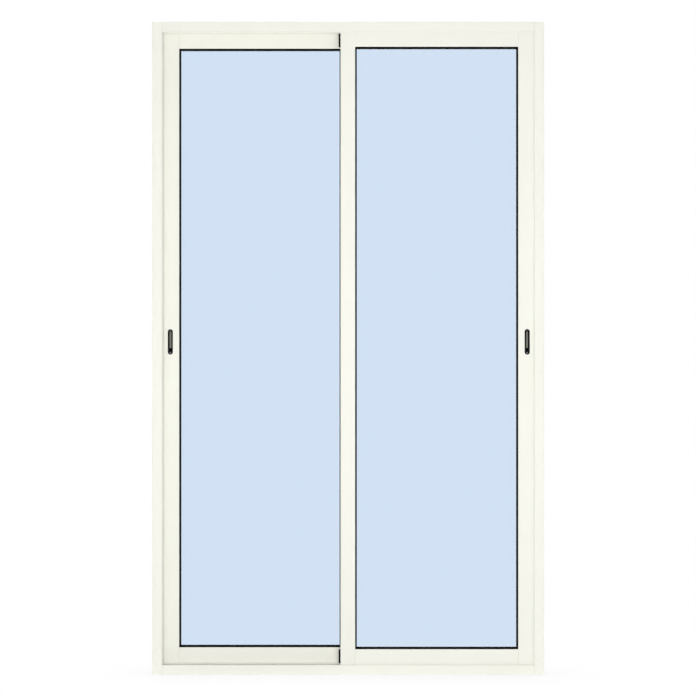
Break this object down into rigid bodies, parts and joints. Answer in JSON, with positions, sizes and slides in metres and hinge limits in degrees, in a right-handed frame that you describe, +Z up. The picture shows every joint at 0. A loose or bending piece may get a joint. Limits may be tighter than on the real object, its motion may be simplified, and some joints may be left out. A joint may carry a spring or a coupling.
{
  "type": "glass sliding patio door",
  "caption": "White aluminium sliding patio door: double-glazed leaves with black gaskets and flush latches, running on parallel tracks in one frame.",
  "frame": {"origin": "middle of the sill's underside", "axes": "+X along the sill to the right seen from the room, +Y from the room to the outside, +Z up"},
  "size_m": [1.2, 0.089, 2],
  "materials": {
    "white_lacquer": "warm white lacquer, satin",
    "bare_aluminium": "mill finish, polished by the wheels",
    "clear_glass": "clear float glass, pale blue by its reflection",
    "spacer_composite": "grey warm-edge bar",
    "black_rubber": "matt black rubber",
    "grey_pile": "woven pile brush",
    "zinc_steel": "zinc-plated sheet",
    "white_nylon": "turned nylon",
    "black_lacquer": "satin black lacquer",
    "grey_plastic": "moulded grey plastic",
    "stainless_plate": "brushed stainless plate",
    "white_plastic": "moulded white plastic",
    "black_plastic": "moulded black plastic"
  },
  "bodies": {
    "frame": {"frame_sill": "white_lacquer", "frame_head": "white_lacquer", "frame_left_jamb": "white_lacquer", "frame_right_jamb": "white_lacquer", "drain_covers": "white_plastic", "front_track_rail": "bare_aluminium", "rear_track_rail": "bare_aluminium", "wind_block_top": "black_plastic", "wind_block_bottom": "black_plastic", "left_keeper": "stainless_plate", "right_keeper": "stainless_plate"},
    "left_sash": {"left_lock_stile": "white_lacquer", "left_meeting_stile": "white_lacquer", "left_interlock": "white_lacquer", "left_top_rail": "white_lacquer", "left_bottom_rail": "white_lacquer", "left_room_pane": "clear_glass", "left_outer_pane": "clear_glass", "left_spacer": "spacer_composite", "left_room_gasket": "black_rubber", "left_outer_gasket": "black_rubber", "left_pile_seals": "grey_pile", "left_roller_housings": "zinc_steel", "left_roller_wheels": "white_nylon", "left_latch_body": "black_lacquer", "left_latch_faceplate": "stainless_plate"},
    "right_sash": {"right_lock_stile": "white_lacquer", "right_meeting_stile": "white_lacquer", "right_interlock": "white_lacquer", "right_top_rail": "white_lacquer", "right_bottom_rail": "white_lacquer", "right_room_pane": "clear_glass", "right_outer_pane": "clear_glass", "right_spacer": "spacer_composite", "right_room_gasket": "black_rubber", "right_outer_gasket": "black_rubber", "right_pile_seals": "grey_pile", "right_roller_housings": "zinc_steel", "right_roller_wheels": "white_nylon", "right_latch_body": "black_lacquer", "right_latch_faceplate": "stainless_plate"},
    "left_latch": {"left_latch_trigger": "grey_plastic"},
    "right_latch": {"right_latch_trigger": "grey_plastic"}
  },
  "joints": [
    {"name": "left_sash_slide", "type": "slide", "parent": "frame", "child": "left_sash", "axis": [1, 0, 0], "range_m": [0, 0.558]},
    {"name": "right_sash_slide", "type": "slide", "parent": "frame", "child": "right_sash", "axis": [-1, 0, 0], "range_m": [0, 0.558]},
    {"name": "left_latch_slide", "type": "slide", "parent": "left_sash", "child": "left_latch", "axis": [0, 0, -1], "range_m": [0, 0.006], "stiffness_N_per_m": 300, "springref_m": -0.004},
    {"name": "right_latch_slide", "type": "slide", "parent": "right_sash", "child": "right_latch", "axis": [0, 0, -1], "range_m": [0, 0.006], "stiffness_N_per_m": 300, "springref_m": -0.004}
  ]
}
